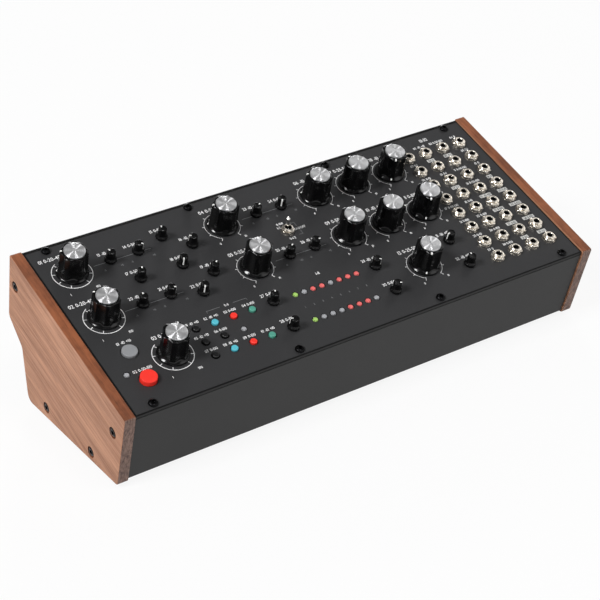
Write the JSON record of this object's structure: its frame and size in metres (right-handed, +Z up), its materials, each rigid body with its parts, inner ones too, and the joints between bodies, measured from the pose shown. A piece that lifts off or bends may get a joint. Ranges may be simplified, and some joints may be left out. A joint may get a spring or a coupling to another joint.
{
  "type": "analog synthesizer",
  "caption": "Tabletop analog synthesizer: a folded metal case between wooden sides, its sloping panel full of knobs, trimmers, buttons, step lights, a toggle and patch sockets.",
  "frame": {"origin": "on the ground, under the middle of the instrument's outline", "axes": "+X to the player's right, +Y to the rear, +Z up"},
  "size_m": [0.319, 0.1348, 0.1056],
  "materials": {
    "case_paint": "dark grey textured paint, matt",
    "panel_paint": "aluminium with charcoal paint, satin, with white print",
    "side_wood": "oiled light brown wood with fine straight grain",
    "black_steel": "blackened steel",
    "circuit_board": "green circuit board with black parts",
    "socket_nickel": "warm white nickel plate",
    "lever_chrome": "polished chrome plate",
    "inlet_plastic": "black plastic",
    "foot_rubber": "black rubber",
    "knob_plastic": "glossy black plastic, with a spun metal cap and a white pointer",
    "trimmer_plastic": "satin black plastic with a white pointer",
    "button_grey": "grey silicone",
    "button_red": "red silicone",
    "button_black": "black plastic",
    "button_blue": "light blue plastic",
    "button_green": "green plastic"
  },
  "bodies": {
    "chassis": {"case_shell": "case_paint", "left_wood_side": "side_wood", "right_wood_side": "side_wood", "front_panel": "panel_paint", "rear_rail": "black_steel", "front_rail": "black_steel", "control_board": "circuit_board", "patch_board": "socket_nickel", "toggle_switch_body": "socket_nickel", "audio_output_socket": "socket_nickel", "power_inlet": "inlet_plastic", "rear_left_foot": "foot_rubber", "rear_right_foot": "foot_rubber", "front_left_foot": "foot_rubber", "front_right_foot": "foot_rubber"},
    "oscillator_pitch": {"oscillator_pitch_knob": "knob_plastic"},
    "modulator_pitch": {"modulator_pitch_knob": "knob_plastic"},
    "tempo": {"tempo_knob": "knob_plastic"},
    "folder_depth": {"folder_depth_knob": "knob_plastic"},
    "filter_cutoff": {"filter_cutoff_knob": "knob_plastic"},
    "folder_bias": {"folder_bias_knob": "knob_plastic"},
    "order_blend": {"order_blend_knob": "knob_plastic"},
    "output_level": {"output_level_knob": "knob_plastic"},
    "resonance": {"resonance_knob": "knob_plastic"},
    "filter_mode": {"filter_mode_knob": "knob_plastic"},
    "drive": {"drive_knob": "knob_plastic"},
    "envelope_mix": {"envelope_mix_knob": "knob_plastic"},
    "pitch_envelope": {"pitch_envelope_trimmer": "trimmer_plastic"},
    "pitch_sequence": {"pitch_sequence_trimmer": "trimmer_plastic"},
    "oscillator_level": {"oscillator_level_trimmer": "trimmer_plastic"},
    "ring_level": {"ring_level_trimmer": "trimmer_plastic"},
    "cross_modulation": {"cross_modulation_trimmer": "trimmer_plastic"},
    "modulator_level": {"modulator_level_trimmer": "trimmer_plastic"},
    "noise_level": {"noise_level_trimmer": "trimmer_plastic"},
    "modulator_envelope": {"modulator_envelope_trimmer": "trimmer_plastic"},
    "modulator_sequence": {"modulator_sequence_trimmer": "trimmer_plastic"},
    "input_level": {"input_level_trimmer": "trimmer_plastic"},
    "folder_envelope": {"folder_envelope_trimmer": "trimmer_plastic"},
    "folder_sequence": {"folder_sequence_trimmer": "trimmer_plastic"},
    "cutoff_envelope": {"cutoff_envelope_trimmer": "trimmer_plastic"},
    "cutoff_sequence": {"cutoff_sequence_trimmer": "trimmer_plastic"},
    "upper_chance": {"upper_chance_trimmer": "trimmer_plastic"},
    "lower_chance": {"lower_chance_trimmer": "trimmer_plastic"},
    "upper_range": {"upper_range_trimmer": "trimmer_plastic"},
    "lower_range": {"lower_range_trimmer": "trimmer_plastic"},
    "upper_decay": {"upper_decay_trimmer": "trimmer_plastic"},
    "lower_decay": {"lower_decay_trimmer": "trimmer_plastic"},
    "trigger": {"trigger_button": "button_grey"},
    "run": {"run_button": "button_red"},
    "hold": {"hold_button": "button_black"},
    "upper_length": {"upper_length_button": "button_blue"},
    "upper_flip": {"upper_flip_button": "button_red"},
    "upper_write": {"upper_write_button": "button_green"},
    "reset": {"reset_button": "button_black"},
    "chain": {"chain_button": "button_black"},
    "advance": {"advance_button": "button_black"},
    "lower_length": {"lower_length_button": "button_blue"},
    "lower_flip": {"lower_flip_button": "button_red"},
    "lower_write": {"lower_write_button": "button_green"},
    "toggle": {"toggle_lever": "lever_chrome"}
  },
  "joints": [
    {"name": "oscillator_pitch_turn", "type": "hinge", "parent": "chassis", "child": "oscillator_pitch", "pos_m": [-0.1342, 0.03192, 0.08657], "axis": [0, -0.342, 0.9397], "range_deg": [-215, 85]},
    {"name": "modulator_pitch_turn", "type": "hinge", "parent": "chassis", "child": "modulator_pitch", "pos_m": [-0.1342, -0.00261, 0.074], "axis": [0, -0.342, 0.9397], "range_deg": [-190, 110]},
    {"name": "tempo_turn", "type": "hinge", "parent": "chassis", "child": "tempo", "pos_m": [-0.11308, -0.03835, 0.06099], "axis": [0, -0.342, 0.9397], "range_deg": [-115, 185]},
    {"name": "folder_depth_turn", "type": "hinge", "parent": "chassis", "child": "folder_depth", "pos_m": [-0.0374, 0.03192, 0.08657], "axis": [0, -0.342, 0.9397], "range_deg": [-220, 80]},
    {"name": "filter_cutoff_turn", "type": "hinge", "parent": "chassis", "child": "filter_cutoff", "pos_m": [-0.0374, -0.00261, 0.074], "axis": [0, -0.342, 0.9397], "range_deg": [-115, 185]},
    {"name": "folder_bias_turn", "type": "hinge", "parent": "chassis", "child": "folder_bias", "pos_m": [0.02762, 0.03192, 0.08657], "axis": [0, -0.342, 0.9397], "range_deg": [-210, 90]},
    {"name": "order_blend_turn", "type": "hinge", "parent": "chassis", "child": "order_blend", "pos_m": [0.05541, 0.03192, 0.08657], "axis": [0, -0.342, 0.9397], "range_deg": [-165, 135]},
    {"name": "output_level_turn", "type": "hinge", "parent": "chassis", "child": "output_level", "pos_m": [0.0826, 0.03192, 0.08657], "axis": [0, -0.342, 0.9397], "range_deg": [-300, 0]},
    {"name": "resonance_turn", "type": "hinge", "parent": "chassis", "child": "resonance", "pos_m": [0.02762, -0.00261, 0.074], "axis": [0, -0.342, 0.9397], "range_deg": [-115, 185]},
    {"name": "filter_mode_turn", "type": "hinge", "parent": "chassis", "child": "filter_mode", "pos_m": [0.05541, -0.00261, 0.074], "axis": [0, -0.342, 0.9397], "range_deg": [-15, 285]},
    {"name": "drive_turn", "type": "hinge", "parent": "chassis", "child": "drive", "pos_m": [0.0826, -0.00261, 0.074], "axis": [0, -0.342, 0.9397], "range_deg": [-300, 0]},
    {"name": "envelope_mix_turn", "type": "hinge", "parent": "chassis", "child": "envelope_mix", "pos_m": [0.05541, -0.03835, 0.06099], "axis": [0, -0.342, 0.9397], "range_deg": [-300, 0]},
    {"name": "pitch_envelope_turn", "type": "hinge", "parent": "chassis", "child": "pitch_envelope", "pos_m": [-0.11031, 0.0321, 0.08664], "axis": [0, -0.342, 0.9397], "range_deg": [-170, 130]},
    {"name": "pitch_sequence_turn", "type": "hinge", "parent": "chassis", "child": "pitch_sequence", "pos_m": [-0.09281, 0.0321, 0.08664], "axis": [0, -0.342, 0.9397], "range_deg": [-20, 280]},
    {"name": "oscillator_level_turn", "type": "hinge", "parent": "chassis", "child": "oscillator_level", "pos_m": [-0.07489, 0.03669, 0.0883], "axis": [0, -0.342, 0.9397], "range_deg": [-150, 150]},
    {"name": "ring_level_turn", "type": "hinge", "parent": "chassis", "child": "ring_level", "pos_m": [-0.0616, 0.0254, 0.0842], "axis": [0, -0.342, 0.9397], "range_deg": [-210, 90]},
    {"name": "cross_modulation_turn", "type": "hinge", "parent": "chassis", "child": "cross_modulation", "pos_m": [-0.10171, 0.01411, 0.08009], "axis": [0, -0.342, 0.9397], "range_deg": [-120, 180]},
    {"name": "modulator_level_turn", "type": "hinge", "parent": "chassis", "child": "modulator_level", "pos_m": [-0.07489, 0.01411, 0.08009], "axis": [0, -0.342, 0.9397], "range_deg": [-300, 0]},
    {"name": "noise_level_turn", "type": "hinge", "parent": "chassis", "child": "noise_level", "pos_m": [-0.0616, 0.00294, 0.07602], "axis": [0, -0.342, 0.9397], "range_deg": [-95, 205]},
    {"name": "modulator_envelope_turn", "type": "hinge", "parent": "chassis", "child": "modulator_envelope", "pos_m": [-0.11031, -0.00255, 0.07402], "axis": [0, -0.342, 0.9397], "range_deg": [-145, 155]},
    {"name": "modulator_sequence_turn", "type": "hinge", "parent": "chassis", "child": "modulator_sequence", "pos_m": [-0.09281, -0.00255, 0.07402], "axis": [0, -0.342, 0.9397], "range_deg": [-25, 275]},
    {"name": "input_level_turn", "type": "hinge", "parent": "chassis", "child": "input_level", "pos_m": [-0.07489, -0.00768, 0.07215], "axis": [0, -0.342, 0.9397], "range_deg": [-300, 0]},
    {"name": "folder_envelope_turn", "type": "hinge", "parent": "chassis", "child": "folder_envelope", "pos_m": [-0.01405, 0.0321, 0.08664], "axis": [0, -0.342, 0.9397], "range_deg": [-85, 215]},
    {"name": "folder_sequence_turn", "type": "hinge", "parent": "chassis", "child": "folder_sequence", "pos_m": [0.00308, 0.0321, 0.08664], "axis": [0, -0.342, 0.9397], "range_deg": [-295, 5]},
    {"name": "cutoff_envelope_turn", "type": "hinge", "parent": "chassis", "child": "cutoff_envelope", "pos_m": [-0.01405, -0.00255, 0.07402], "axis": [0, -0.342, 0.9397], "range_deg": [-105, 195]},
    {"name": "cutoff_sequence_turn", "type": "hinge", "parent": "chassis", "child": "cutoff_sequence", "pos_m": [0.00308, -0.00255, 0.07402], "axis": [0, -0.342, 0.9397], "range_deg": [-35, 265]},
    {"name": "upper_chance_turn", "type": "hinge", "parent": "chassis", "child": "upper_chance", "pos_m": [-0.0427, -0.02851, 0.06457], "axis": [0, -0.342, 0.9397], "range_deg": [-120, 180]},
    {"name": "lower_chance_turn", "type": "hinge", "parent": "chassis", "child": "lower_chance", "pos_m": [-0.0427, -0.04817, 0.05742], "axis": [0, -0.342, 0.9397], "range_deg": [-210, 90]},
    {"name": "upper_range_turn", "type": "hinge", "parent": "chassis", "child": "upper_range", "pos_m": [0.02731, -0.02851, 0.06457], "axis": [0, -0.342, 0.9397], "range_deg": [-10, 290]},
    {"name": "lower_range_turn", "type": "hinge", "parent": "chassis", "child": "lower_range", "pos_m": [0.02731, -0.04817, 0.05742], "axis": [0, -0.342, 0.9397], "range_deg": [-22, 278]},
    {"name": "upper_decay_turn", "type": "hinge", "parent": "chassis", "child": "upper_decay", "pos_m": [0.08111, -0.02851, 0.06457], "axis": [0, -0.342, 0.9397], "range_deg": [-245, 55]},
    {"name": "lower_decay_turn", "type": "hinge", "parent": "chassis", "child": "lower_decay", "pos_m": [0.08111, -0.04817, 0.05742], "axis": [0, -0.342, 0.9397], "range_deg": [-140, 160]},
    {"name": "trigger_press", "type": "slide", "parent": "chassis", "child": "trigger", "axis": [0, 0.342, -0.9397], "range_m": [0, 0.0012], "stiffness_N_per_m": 500, "springref_m": -0.0003},
    {"name": "run_press", "type": "slide", "parent": "chassis", "child": "run", "axis": [0, 0.342, -0.9397], "range_m": [0, 0.0012], "stiffness_N_per_m": 500, "springref_m": -0.0003},
    {"name": "hold_press", "type": "slide", "parent": "chassis", "child": "hold", "axis": [0, 0.342, -0.9397], "range_m": [0, 0.0005], "stiffness_N_per_m": 500, "springref_m": -0.0003},
    {"name": "upper_length_press", "type": "slide", "parent": "chassis", "child": "upper_length", "axis": [0, 0.342, -0.9397], "range_m": [0, 0.0005], "stiffness_N_per_m": 500, "springref_m": -0.0003},
    {"name": "upper_flip_press", "type": "slide", "parent": "chassis", "child": "upper_flip", "axis": [0, 0.342, -0.9397], "range_m": [0, 0.0005], "stiffness_N_per_m": 500, "springref_m": -0.0003},
    {"name": "upper_write_press", "type": "slide", "parent": "chassis", "child": "upper_write", "axis": [0, 0.342, -0.9397], "range_m": [0, 0.0005], "stiffness_N_per_m": 500, "springref_m": -0.0003},
    {"name": "reset_press", "type": "slide", "parent": "chassis", "child": "reset", "axis": [0, 0.342, -0.9397], "range_m": [0, 0.0005], "stiffness_N_per_m": 500, "springref_m": -0.0003},
    {"name": "chain_press", "type": "slide", "parent": "chassis", "child": "chain", "axis": [0, 0.342, -0.9397], "range_m": [0, 0.0005], "stiffness_N_per_m": 500, "springref_m": -0.0003},
    {"name": "advance_press", "type": "slide", "parent": "chassis", "child": "advance", "axis": [0, 0.342, -0.9397], "range_m": [0, 0.0005], "stiffness_N_per_m": 500, "springref_m": -0.0003},
    {"name": "lower_length_press", "type": "slide", "parent": "chassis", "child": "lower_length", "axis": [0, 0.342, -0.9397], "range_m": [0, 0.0005], "stiffness_N_per_m": 500, "springref_m": -0.0003},
    {"name": "lower_flip_press", "type": "slide", "parent": "chassis", "child": "lower_flip", "axis": [0, 0.342, -0.9397], "range_m": [0, 0.0005], "stiffness_N_per_m": 500, "springref_m": -0.0003},
    {"name": "lower_write_press", "type": "slide", "parent": "chassis", "child": "lower_write", "axis": [0, 0.342, -0.9397], "range_m": [0, 0.0005], "stiffness_N_per_m": 500, "springref_m": -0.0003},
    {"name": "toggle_throw", "type": "hinge", "parent": "chassis", "child": "toggle", "pos_m": [-0.0043, 0.0137, 0.081], "axis": [1, 0, 0], "range_deg": [0, 24]}
  ]
}
